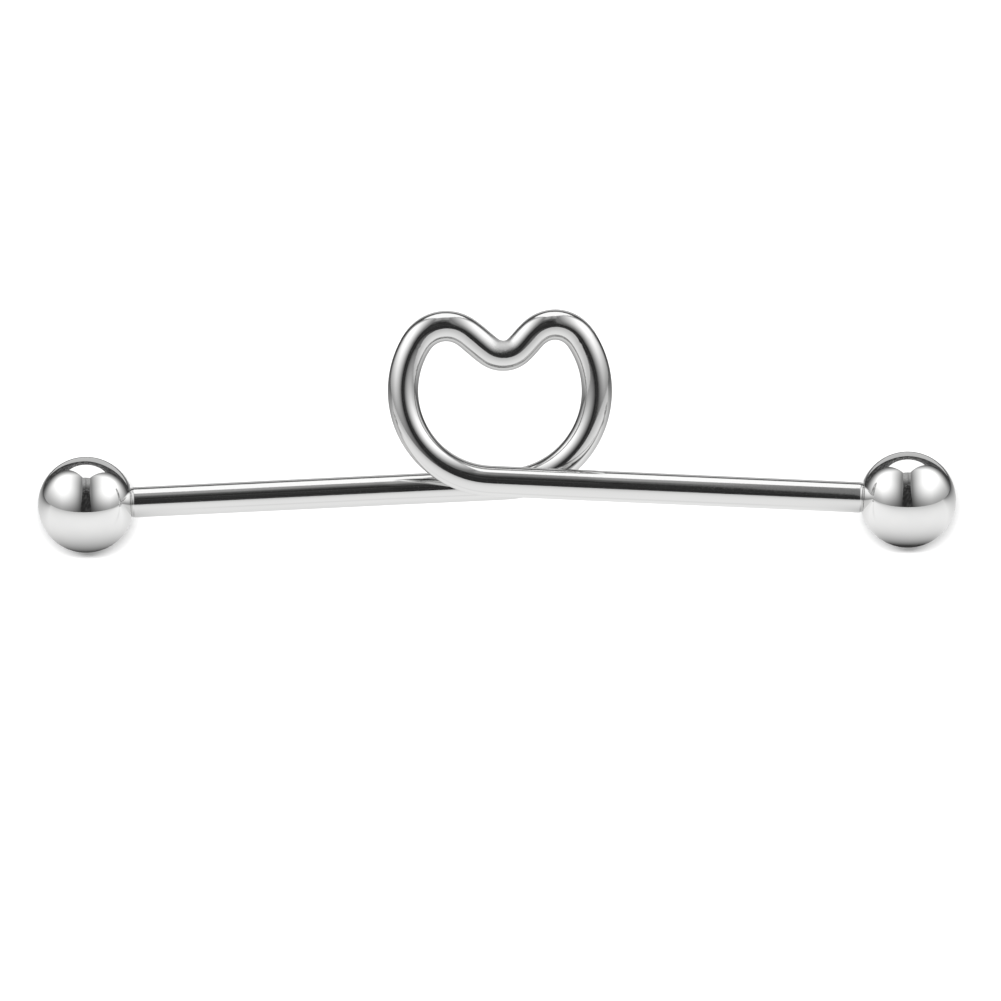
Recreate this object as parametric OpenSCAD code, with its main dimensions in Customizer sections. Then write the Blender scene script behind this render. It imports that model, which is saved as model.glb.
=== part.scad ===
// Industrial barbell for the ear: one steel wire bent into a heart-shaped loop in its
// middle, with a screw-on ball on each end. It lies at rest on both balls and on the
// top of the heart.
//
// X runs along the bar, the heart points along +Y and the origin is on the floor, under
// the middle of the whole. The back half of the wire is the half that passes below the
// other where they cross, and it ends in the left ball, on the -X side.

/* [Bar] */
// Diameter of the wire, 14 gauge
wire_d = 1.6; // [1.2:0.1:1.8]
// Length of the bar between the faces of the two balls
bar_len = 38; // [34:1:46]
// Distance of the notch from the middle of the bar, towards the right ball
heart_shift = 0.4; // [-1.5:0.1:1.5]
// Straight run of each arm where the two halves pass each other
cross_run = 5.6; // [5:0.2:7]
// Bend radius of the slight set in each arm that brings its ball back into line
setback_r = 16; // [8:1:30]

/* [Heart] */
// Bend radius of the notch between the two lobes
notch_r = 1; // [1:0.1:1.5]
// Straight at the very bottom of the notch
notch_flat = 0.16; // [0.12:0.02:0.4]
// Straight between each lobe and the side of the heart below it
shoulder_flat = 0.2; // [0.12:0.02:0.6]

/* [Back half of the heart] */
// Slope of the valley side, from the notch up to the right lobe
back_valley_slope = 49; // [40:1:55]
// Straight of that valley side
back_valley_len = 1; // [0.8:0.1:1.6]
// Bend radius of the right lobe
back_lobe_r = 1.6; // [1.3:0.1:2.2]
// Slope of the heart's right side where the lobe ends
back_shoulder_slope = 59; // [52:1:66]
// Bend radius of the heart's right side
back_flank_r = 4.9; // [4.5:0.1:5.4]
// How steeply the left arm falls towards its ball
back_droop = 2.4; // [0:0.1:5]

/* [Front half of the heart] */
// Slope of the valley side, from the notch up to the left lobe
front_valley_slope = 41; // [34:1:50]
// Straight of that valley side
front_valley_len = 1.4; // [1:0.1:1.8]
// Bend radius of the left lobe
front_lobe_r = 1.8; // [1.4:0.1:2.4]
// Slope of the heart's left side where the lobe ends
front_shoulder_slope = 61; // [54:1:68]
// Bend radius of the heart's left side
front_flank_r = 4.7; // [4.3:0.1:5.2]
// How steeply the right arm falls towards its ball
front_droop = 2.9; // [0:0.1:5]

/* [Balls] */
// Diameter of each ball
ball_d = 5; // [4:0.5:6]
// Width of the flat rim round the wire on the face of the ball
face_rim = 0.12; // [0.1:0.01:0.3]
// Depth of the bore past the end of the thread
bore_spare = 0.3; // [0.1:0.1:0.6]
// Chamfer at the mouth of the bore
mouth_chamfer = 0.06; // [0.04:0.01:0.1]

/* [Thread] */
// Step at the shoulder, from the wire down to the crest of the thread
shoulder_step = 0.2; // [0.16:0.02:0.24]
// Chamfer on the shoulder, measured across the wire
shoulder_chamfer = 0.1; // [0.04:0.02:0.14]
// Length of that chamfer along the wire
shoulder_chamfer_len = 0.16; // [0.08:0.02:0.3]
// Plain neck between the shoulder and the first turn
neck_len = 0.25; // [0.1:0.05:0.4]
// Height of one turn
thread_pitch = 0.25; // [0.2:0.05:0.3]
// Number of turns
thread_turns = 9; // [7:1:10]
// Depth of the thread from crest to root
thread_depth = 0.14; // [0.1:0.02:0.18]

/* [Clearances] */
// Gap between the two halves of the wire where they pass each other
cross_gap = 0.06; // [0.04:0.02:0.3]
// Gap between the shoulder of the bar and the face of the ball
seat_gap = 0.03; // [0.02:0.01:0.1]
// Gap round the thread in the bore of the ball
thread_gap = 0.04; // [0.02:0.01:0.08]

/* [Hidden] */
$fn = 96;

STEEL = "silver";
BALL_STEEL = "gainsboro";

wire_r = wire_d / 2;
ball_r = ball_d / 2;
// Bending thins the wire a little
bend_thinning = 0.004;
// Length that a bend runs on inside the straight at each of its ends
bend_lap = 0.05;

crest_r = wire_r - shoulder_step;
root_r = crest_r - thread_depth;
// Share of a turn that is flat at the crest and at the root
crest_share = 0.15;
thread_len = thread_pitch * thread_turns;
stub_len = neck_len + thread_len;

face_r = wire_r + face_rim;
// Distance from the centre of a ball to its face
face_dist = sqrt(ball_r * ball_r - face_r * face_r);
bore_r = crest_r + thread_gap;
bore_len = seat_gap + stub_len + bore_spare;
// Half the point angle of the drill that made the bore
drill_half_angle = 59;
past_face = 1;

// Depth of each half's centreline at the crossing, either side of the middle
cross_depth = (wire_d + cross_gap) / 2;

// One row for each half of the heart, from the notch out to the arm. The last column is the
// distance from the notch to the centre of the half's own ball, along the bar.
half_span = bar_len / 2 + face_dist + seat_gap;
BACK = [back_valley_slope, back_valley_len, back_lobe_r, back_shoulder_slope,
        back_flank_r, back_droop, half_span + heart_shift];
FRONT = [front_valley_slope, front_valley_len, front_lobe_r, front_shoulder_slope,
         front_flank_r, front_droop, half_span - heart_shift];
function valley_slope(h) = h[0];
function valley_len(h) = h[1];
function lobe_r(h) = h[2];
function shoulder_slope(h) = h[3];
function flank_r(h) = h[4];
function droop(h) = h[5];
function reach(h) = h[6];

// Vectors

function unit(v) = v / norm(v);
function turn(from, to) = acos(unit(from) * unit(to));
// Direction with a heading in the heart's plane and a rise out of it towards the viewer
function dir(heading, rise) =
    [cos(heading) * cos(rise), sin(heading) * cos(rise), sin(rise)];
// A point turned by half a turn about Y, which carries the back half to the front
function flipped(p) = [-p.x, p.y, -p.z];

// The wire as a bender makes it, from the notch outwards. A step feeds a straight and then
// bends it at a radius to a new heading and rise.

function feed(step) = step[0];
function radius(step) = step[1];
function heading(step) = step[2];
function rise(step) = step[3];

function arm_heading(h) = droop(h) - 180;

// Steps of the heart itself: notch, lobe and side
function heart_steps(h, loop_rise) = [
    [notch_flat / 2, notch_r, valley_slope(h), -loop_rise],
    [valley_len(h), lobe_r(h), -shoulder_slope(h), -loop_rise],
    [shoulder_flat, flank_r(h), arm_heading(h), 0],
];

// A bend is kept with the straight before it, as points and directions
function straight_start(bend) = bend[0];
function bend_start(bend) = bend[1];
function bend_end(bend) = bend[2];
function before(bend) = bend[3];
function after(bend) = bend[4];
function bend_r(bend) = bend[5];
// Where a bend turns to, the axis that it turns about and the centre of its circle
function inward(bend) = unit(after(bend) - (before(bend) * after(bend)) * before(bend));
function bend_axis(bend) = cross(before(bend), inward(bend));
function bend_centre(bend) = bend_start(bend) + bend_r(bend) * inward(bend);

// The bends that steps make, from a point and a direction on
function bends(steps, at, from, i = 0) =
    i == len(steps) ? [] :
    let (
        start = at + feed(steps[i]) * from,
        to = dir(heading(steps[i]), rise(steps[i])),
        end = start + radius(steps[i]) * tan(turn(from, to) / 2) * (from + to)
    )
    concat(
        [[at, start, end, from, to, radius(steps[i])]],
        bends(steps, end, to, i + 1)
    );

function heart_bends(h, loop_rise) =
    bends(heart_steps(h, loop_rise), [0, 0, 0], dir(0, -loop_rise));
function last(list) = list[len(list) - 1];
function heart_end(h, loop_rise) = bend_end(last(heart_bends(h, loop_rise)));

// The rise of the loop is the one at which its two ends lie cross_depth either side
RISE_TRIES = 6;
FIRST_RISE = 4;
function depth_gained(loop_rise) =
    -heart_end(BACK, loop_rise).z - heart_end(FRONT, loop_rise).z;
function settled_rise(loop_rise, tries) =
    tries <= 0 ? loop_rise :
    settled_rise(loop_rise * 2 * cross_depth / depth_gained(loop_rise), tries - 1);
loop_rise = settled_rise(FIRST_RISE, RISE_TRIES);
notch_z = -heart_end(BACK, loop_rise).z - cross_depth;

// Length in the heart's plane from the start of the set in the arm to the ball's centre
function set_to_ball(h) =
    (reach(h) + heart_end(h, loop_rise).x) / cos(droop(h)) - cross_run;
// Angle of that set, which takes the arm back from cross_depth to the ball's centre
function set_angle(h) =
    let (
        length = set_to_ball(h),
        spread = 2 * setback_r - cross_depth
    )
    2 * atan((length - sqrt(length * length - spread * cross_depth)) / spread);

function half_steps(h) = concat(
    heart_steps(h, loop_rise),
    [[cross_run, setback_r, arm_heading(h), set_angle(h)]]
);
function half_bends(h) = bends(half_steps(h), [0, 0, 0], dir(0, -loop_rise));
function arm_start(h) = bend_end(last(half_bends(h)));
function arm_dir(h) = after(last(half_bends(h)));
// From the end of the set to the ball's centre, and to the shoulder of the bar
function arm_to_ball(h) =
    let (tangent = setback_r * tan(set_angle(h) / 2))
    norm([set_to_ball(h) - tangent, cross_depth]) - tangent;
function arm_len(h) = arm_to_ball(h) - face_dist - seat_gap;
function ball_at(h) = arm_start(h) + arm_to_ball(h) * arm_dir(h);

// Place of the whole at rest

left_centre = ball_at(BACK) + [0, 0, notch_z];
right_centre = flipped(ball_at(FRONT)) + [0, 0, notch_z];
line_middle = (left_centre + right_centre) / 2;
line_roll = atan2(right_centre.y - left_centre.y, right_centre.x - left_centre.x);

// A point or direction of the heart's plane, turned so that the balls' line is along X
function levelled(v) = [
    v.x * cos(line_roll) + v.y * sin(line_roll),
    v.y * cos(line_roll) - v.x * sin(line_roll),
    v.z,
];

// The lobe is the second bend of a half. Its circle is kept with a centre, an axis and a radius.
function lobe_bend(h) = heart_bends(h, loop_rise)[1];
function centre_of(circle) = circle[0];
function axis_of(circle) = circle[1];
function radius_of(circle) = circle[2];
to_middle = [0, 0, notch_z] - line_middle;
LOBES = [
    [levelled(bend_centre(lobe_bend(BACK)) + to_middle),
     levelled(bend_axis(lobe_bend(BACK))),
     back_lobe_r],
    [levelled(flipped(bend_centre(lobe_bend(FRONT))) + to_middle),
     levelled(flipped(bend_axis(lobe_bend(FRONT)))),
     front_lobe_r],
];

// How far a circle reaches along a direction
function reach_along(circle, way) =
    centre_of(circle) * way + radius_of(circle) * sqrt(1 - pow(axis_of(circle) * way, 2));
function down(tilt) = [0, sin(tilt), -cos(tilt)];
function onward(tilt) = [0, cos(tilt), sin(tilt)];

// The heart tips down about the balls' line until its lower lobe meets the floor
TILT_TRIES = 12;
FIRST_TILT = 9;
lobe_drop = ball_r - wire_r;
function tilt_for(lobe, tilt, tries) =
    tries <= 0 ? tilt :
    let (short_by = lobe_drop - reach_along(lobe, down(tilt)))
    tilt_for(lobe, tilt + asin(short_by / centre_of(lobe).y), tries - 1);
rest_tilt = min([for (lobe = LOBES) tilt_for(lobe, FIRST_TILT, TILT_TRIES)]);
heart_top = max([for (lobe = LOBES) reach_along(lobe, onward(rest_tilt))]) + wire_r;
middle_y = (heart_top - ball_r) / 2;

module at_rest() {
    translate([0, -middle_y, ball_r])
        rotate([-rest_tilt, 0, 0])
            rotate([0, 0, -line_roll])
                translate(to_middle)
                    children();
}

// Carries what is built for the back half over to the front half
module as_front() {
    rotate([0, 180, 0]) children();
}

// Stands children, which are drawn along +Z, at a point and along a direction
module along(at, way) {
    translate(at)
        rotate([0, acos(way.z), atan2(way.y, way.x)])
            children();
}

module straight(at, way, length) {
    along(at, way) cylinder(r = wire_r, h = length);
}

module bent_wire(bend) {
    out = -inward(bend);
    way = before(bend);
    axis = bend_axis(bend);
    centre = bend_centre(bend);
    lap = bend_lap / bend_r(bend) * 180 / PI;
    multmatrix([
        [out.x, way.x, axis.x, centre.x],
        [out.y, way.y, axis.y, centre.y],
        [out.z, way.z, axis.z, centre.z],
        [0, 0, 0, 1],
    ])
        rotate_extrude(angle = turn(way, after(bend)) + 2 * lap, start = -lap)
            translate([bend_r(bend), 0])
                circle(r = wire_r - bend_thinning);
}

// Outline of one turn of the thread, as [radius, height] pairs from its root up to its crest
function turn_points(base) =
    let (
        flat = thread_pitch * crest_share,
        slope = thread_pitch / 2 - flat
    )
    [
        [root_r, base + flat],
        [crest_r, base + flat + slope],
        [crest_r, base + 2 * flat + slope],
        [root_r, base + thread_pitch],
    ];

// The straight of an arm, its chamfered shoulder and the thread past it, as one turned piece
module threaded_arm(length) {
    rotate_extrude()
        polygon(concat(
            [
                [0, 0],
                [wire_r, 0],
                [wire_r, length - shoulder_chamfer_len],
                [wire_r - shoulder_chamfer, length],
                [root_r, length],
                [root_r, length + neck_len],
            ],
            [for (i = [0:thread_turns - 1]) each turn_points(length + neck_len + i * thread_pitch)],
            [[0, length + stub_len]]
        ));
}

// One half of the wire, from the notch to the end of its thread
module half_wire(h) {
    made = half_bends(h);
    for (i = [1:len(made) - 1]) {
        start = straight_start(made[i]);
        straight(start, before(made[i]), norm(bend_start(made[i]) - start));
    }
    for (bend = made)
        bent_wire(bend);
    along(arm_start(h), arm_dir(h)) threaded_arm(arm_len(h));
}

module heart_bar() {
    notch_way = dir(0, -loop_rise);
    color(STEEL)
        at_rest() {
            half_wire(BACK);
            as_front() half_wire(FRONT);
            straight(-notch_flat / 2 * notch_way, notch_way, notch_flat);
        }
}

// A ball about the origin, bored from the -Z side
module bored_ball() {
    difference() {
        sphere(r = ball_r);
        translate([0, 0, -face_dist - past_face])
            cylinder(r = ball_r, h = past_face);
        translate([0, 0, -face_dist - past_face])
            cylinder(r = bore_r, h = past_face + bore_len);
        translate([0, 0, bore_len - face_dist])
            cylinder(r1 = bore_r, r2 = 0, h = bore_r / tan(drill_half_angle));
        translate([0, 0, -face_dist - mouth_chamfer])
            cylinder(
                r1 = bore_r + 2 * mouth_chamfer,
                r2 = bore_r,
                h = 2 * mouth_chamfer
            );
    }
}

module seated_ball(h) {
    along(ball_at(h), arm_dir(h)) bored_ball();
}

module ball_left() {
    color(BALL_STEEL)
        at_rest() seated_ball(BACK);
}

module ball_right() {
    color(BALL_STEEL)
        at_rest() as_front() seated_ball(FRONT);
}

heart_bar();
ball_left();
ball_right();
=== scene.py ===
"""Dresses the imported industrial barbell: a steel wire bent to a heart, with a ball at each end.

The bending sizes below are the ones that the CAD model is made from, in millimetres, so each
dense piece stands exactly where the node that it replaces stands. The studio is the one that
the balls mirror: a cloth wall on each side and a cloth roof, a white table with a white sweep
behind it, a dark room, and in front a slit for the camera with its dark stand in it.
"""

import logging
import math
from dataclasses import dataclass, replace
from enum import Enum
from functools import partial
from typing import Callable, Iterable

import bpy
import numpy as np
from mathutils import Matrix, Vector


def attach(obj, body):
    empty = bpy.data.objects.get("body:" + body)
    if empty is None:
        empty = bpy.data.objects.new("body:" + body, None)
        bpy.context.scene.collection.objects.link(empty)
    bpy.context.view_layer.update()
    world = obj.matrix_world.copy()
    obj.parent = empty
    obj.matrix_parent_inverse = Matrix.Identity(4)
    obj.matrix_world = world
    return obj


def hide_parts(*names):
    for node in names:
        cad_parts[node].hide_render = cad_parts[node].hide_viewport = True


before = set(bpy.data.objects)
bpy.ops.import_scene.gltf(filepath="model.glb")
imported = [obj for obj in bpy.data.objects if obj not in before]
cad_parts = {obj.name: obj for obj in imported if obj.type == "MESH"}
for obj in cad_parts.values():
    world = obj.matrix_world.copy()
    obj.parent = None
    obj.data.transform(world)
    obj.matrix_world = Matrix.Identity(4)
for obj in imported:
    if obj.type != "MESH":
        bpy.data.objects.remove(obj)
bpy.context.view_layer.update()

log = logging.getLogger("barbell")

MM = 0.001
# Nearly all values of a noise pattern lie between these
NOISE_LOW, NOISE_HIGH = 0.3, 0.7

Array = np.ndarray
Material = bpy.types.Material
Object = bpy.types.Object
Socket = bpy.types.NodeSocket
Tree = bpy.types.NodeTree
Colour = tuple[float, float, float, float]
Pair = tuple[float, float]
Triple = tuple[float, float, float]


# Small helpers


def linear(hex_colour: str) -> Colour:
    """Turns an sRGB colour into the linear one that shaders work in.

    Args:
        hex_colour: The colour as six hex digits.

    Returns:
        Red, green, blue and an alpha of 1, all linear.
    """
    def channel(value: float) -> float:
        """One channel, from sRGB to linear."""
        return value / 12.92 if value <= 0.04045 else ((value + 0.055) / 1.055) ** 2.4

    red, green, blue = (channel(int(hex_colour[i:i + 2], 16) / 255) for i in (0, 2, 4))
    return red, green, blue, 1.0


def unit(vector: Iterable[float]) -> Array:
    """The vector's direction, with length 1."""
    found = np.asarray(vector, float)
    return found / np.linalg.norm(found)


def between(start: Array, end: Array, share: Array | float) -> Array:
    """Goes straight from start, at a share of 0, to end, at a share of 1."""
    return start * (1 - share) + end * share


def smoothstep(low: float, high: float, value: Array) -> Array:
    """Rises smoothly from 0 at low to 1 at high.

    Args:
        low: Where the rise starts.
        high: Where it ends.
        value: The places to work out.

    Returns:
        The height of the step at each place.
    """
    share = np.clip((np.asarray(value, float) - low) / (high - low), 0.0, 1.0)
    return share * share * (3 - 2 * share)


def add_node(tree: Tree, kind: str, settings: dict | None = None,
             links: dict | None = None) -> bpy.types.Node:
    """Adds a node, with its settings and what feeds it.

    Args:
        tree: The node tree of the material or world.
        kind: Blender's name for the kind of node.
        settings: Properties of the node, and values of its inputs, by name. An input that
            shares its name with others is given by its number.
        links: The socket that feeds each input, by the input's name or number.

    Returns:
        The new node.
    """
    node = tree.nodes.new(kind)
    for name, value in (settings or {}).items():
        if isinstance(name, str) and hasattr(node, name):
            setattr(node, name, value)
        else:
            node.inputs[name].default_value = value
    for name, socket in (links or {}).items():
        tree.links.new(socket, node.inputs[name])
    return node


def new_material(name: str) -> tuple[Material, Tree]:
    """A material with an empty node tree.

    Args:
        name: The material's name.

    Returns:
        The material and its tree.
    """
    material = bpy.data.materials.new(name)
    material.use_nodes = True
    material.node_tree.nodes.clear()
    return material, material.node_tree


def mesh_object(name: str, points: Array, faces: list, material: Material,
                smooth: bool = True) -> Object:
    """Makes an object from points and faces.

    Args:
        name: Name of the object and of its mesh.
        points: Its vertices in the row frame, in metres.
        faces: The corners of each face, by number.
        material: What it is made of.
        smooth: Whether its faces are shaded as one smooth skin.

    Returns:
        The object, linked to the scene.
    """
    mesh = bpy.data.meshes.new(name)
    mesh.from_pydata(np.asarray(points, float).tolist(), [], faces)
    mesh.validate()
    mesh.polygons.foreach_set("use_smooth", [smooth] * len(mesh.polygons))
    mesh.materials.append(material)
    made = bpy.data.objects.new(name, mesh)
    bpy.context.scene.collection.objects.link(made)
    return made


def add_values(made: Object, name: str, values: Array) -> None:
    """Keeps a number or a vector with each vertex, for a material to read.

    Args:
        made: The mesh object.
        name: The attribute's name.
        values: One number or three for each vertex.
    """
    vector = np.ndim(values) == 2
    kind, key = ("FLOAT_VECTOR", "vector") if vector else ("FLOAT", "value")
    attribute = made.data.attributes.new(name, kind, "POINT")
    attribute.data.foreach_set(key, np.asarray(values, np.float32).ravel())


def skin(rings: int, sides: int) -> list[tuple[int, ...]]:
    """Faces of a closed skin over rings of vertices, with one vertex to close each end.

    Args:
        rings: How many rings follow each other.
        sides: How many vertices each ring has.

    Returns:
        The faces, for vertices in the order first end, rings, last end.
    """
    def at(ring: int, side: int) -> int:
        """Number of a ring's vertex."""
        return 1 + ring * sides + side % sides

    last = 1 + rings * sides
    faces: list[tuple[int, ...]] = [(0, at(0, j + 1), at(0, j)) for j in range(sides)]
    faces += [(at(i, j), at(i, j + 1), at(i + 1, j + 1), at(i + 1, j))
              for i in range(rings - 1) for j in range(sides)]
    return faces + [(at(rings - 1, j), at(rings - 1, j + 1), last) for j in range(sides)]


def round_ways(sides: int, side_way: Array, up_way: Array) -> Array:
    """Directions round a ring.

    Args:
        sides: How many vertices the ring has.
        side_way: Direction of its first vertex.
        up_way: Direction of the vertex a quarter turn on.

    Returns:
        The direction of each vertex from the ring's middle.
    """
    angles = ring_angles(sides)
    return np.outer(np.cos(angles), side_way) + np.outer(np.sin(angles), up_way)


def ring_angles(sides: int) -> Array:
    """Where the vertices of a ring lie round it, in radians."""
    return np.arange(sides) * math.tau / sides


# The wire as its bender makes it


class Side(Enum):
    """The half of the wire, named for the ball that it ends in."""

    LEFT = "left"
    RIGHT = "right"

    @property
    def sign(self) -> int:
        """-1 on the left, 1 on the right."""
        return -1 if self is Side.LEFT else 1


@dataclass(frozen=True)
class Bend:
    """A straight and the bend after it.

    Attributes:
        first: Where the straight starts.
        start: Where the bend starts.
        end: Where it ends.
        before: Direction of the wire before it.
        after: Direction of the wire after it.
        radius: Radius of the wire's centreline in it.
    """

    first: Array
    start: Array
    end: Array
    before: Array
    after: Array
    radius: float

    @property
    def inward(self) -> Array:
        """Direction from the start of the bend to the centre of its circle."""
        return unit(self.after - (self.before @ self.after) * self.before)

    @property
    def axis(self) -> Array:
        """The line that the wire turns about."""
        return np.cross(self.before, self.inward)

    @property
    def centre(self) -> Array:
        """Centre of its circle."""
        return self.start + self.radius * self.inward

    @property
    def angle(self) -> float:
        """How far it turns, in radians."""
        return math.acos(float(np.clip(self.before @ self.after, -1, 1)))

    def at(self, turned: float) -> tuple[Array, Array]:
        """Place and direction of the wire after part of the turn.

        Args:
            turned: How far it has turned, in radians.

        Returns:
            The point on the centreline and the wire's direction there.
        """
        out, way = -self.inward, self.before
        point = self.centre + self.radius * (math.cos(turned) * out + math.sin(turned) * way)
        return point, math.cos(turned) * way - math.sin(turned) * out


def heading_to(heading: float, rise: float) -> Array:
    """Direction with a heading in the heart's plane and a rise out of it, both in degrees."""
    h, r = math.radians(heading), math.radians(rise)
    return np.array([math.cos(h) * math.cos(r), math.sin(h) * math.cos(r), math.sin(r)])


def bends_of(steps: list[tuple[float, float, Array]], at: Array, way: Array) -> list[Bend]:
    """The bends that a bender's steps make.

    Args:
        steps: For each bend, the straight to feed, the radius and the direction after it.
        at: Where the wire starts.
        way: Its direction there.

    Returns:
        The bends in order.
    """
    made = []
    for feed, radius, after in steps:
        start = at + feed * way
        angle = math.acos(float(np.clip(way @ after, -1, 1)))
        end = start + radius * math.tan(angle / 2) * (way + after)
        made.append(Bend(at, start, end, way, after, radius))
        at, way = end, after
    return made


@dataclass(frozen=True)
class HalfHeart:
    """Sizes of one half of the heart, from the notch out to its arm, in mm and degrees.

    Attributes:
        valley_slope: Slope of the straight that climbs out of the notch.
        valley_len: Length of that straight.
        lobe_r: Radius of the lobe.
        shoulder_slope: Slope of the wire from the lobe down to the flank.
        flank_r: Radius of the flank, which turns under the heart to the arm.
        droop: How far the arm droops from level.
    """

    valley_slope: float
    valley_len: float
    lobe_r: float
    shoulder_slope: float
    flank_r: float
    droop: float

    @property
    def arm_heading(self) -> float:
        """Heading of the arm in the heart's plane."""
        return self.droop - 180


@dataclass(frozen=True)
class Ball:
    """Sizes of a screw-on ball, in mm.

    Attributes:
        radius: Radius of its round.
        face_r: Radius of its flat face.
        bore_r: Radius of its bore.
        bore_len: Depth of the bore, without the cone that the drill leaves.
        mouth_chamfer: Width of the chamfer round the bore's mouth.
        drill_half_angle: Angle between the drill's axis and its cone, in degrees.
    """

    radius: float = 2.5
    face_r: float = 0.92
    bore_r: float = 0.64
    bore_len: float = 2.83
    mouth_chamfer: float = 0.06
    drill_half_angle: float = 59.0

    @property
    def face_dist(self) -> float:
        """Distance from the centre of the ball to its flat face."""
        return math.sqrt(self.radius ** 2 - self.face_r ** 2)

    @property
    def cone_len(self) -> float:
        """Depth of the cone at the end of the bore."""
        return self.bore_r / math.tan(math.radians(self.drill_half_angle))


@dataclass(frozen=True)
class Thread:
    """Sizes of the shoulder and the thread at each end of the wire, in mm.

    Attributes:
        crest_r: Radius of the thread's crests.
        root_r: Radius of its roots and of the neck before it.
        neck_len: Length of the neck.
        pitch: Distance from crest to crest.
        turns: How many turns it has.
        crest_share: Share of the pitch that a crest, or a root, is flat for.
        chamfer_len: Length of the shoulder's chamfer.
        lead: Length over which the thread dies out at the tip.
    """

    crest_r: float = 0.6
    root_r: float = 0.46
    neck_len: float = 0.25
    pitch: float = 0.25
    turns: int = 9
    crest_share: float = 0.15
    chamfer_len: float = 0.16
    lead: float = 0.14

    @property
    def length(self) -> float:
        """Length of the neck and the thread together."""
        return self.neck_len + self.pitch * self.turns

    def radii(self, past: float, along: float, angles: Array) -> Array:
        """Radius of the thread round one ring of it.

        Args:
            past: How far the ring lies past the shoulder.
            along: How far it lies along the whole wire, which sets the turn of the helix.
            angles: Where its vertices lie round the wire, in radians.

        Returns:
            The radius at each vertex.
        """
        phase = (along / self.pitch - angles / math.tau) % 1.0
        flat, into = self.crest_share, past - self.neck_len
        height = np.interp(phase, [0, flat, 0.5, 0.5 + flat, 1], [0, 0, 1, 1, 0])
        flank_len = (0.5 - flat) * self.pitch
        limit = min(1.0, into / flank_len, (self.length - past) / self.lead)
        return self.root_r + (self.crest_r - self.root_r) * np.minimum(height, max(limit, 0.0))


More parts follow.
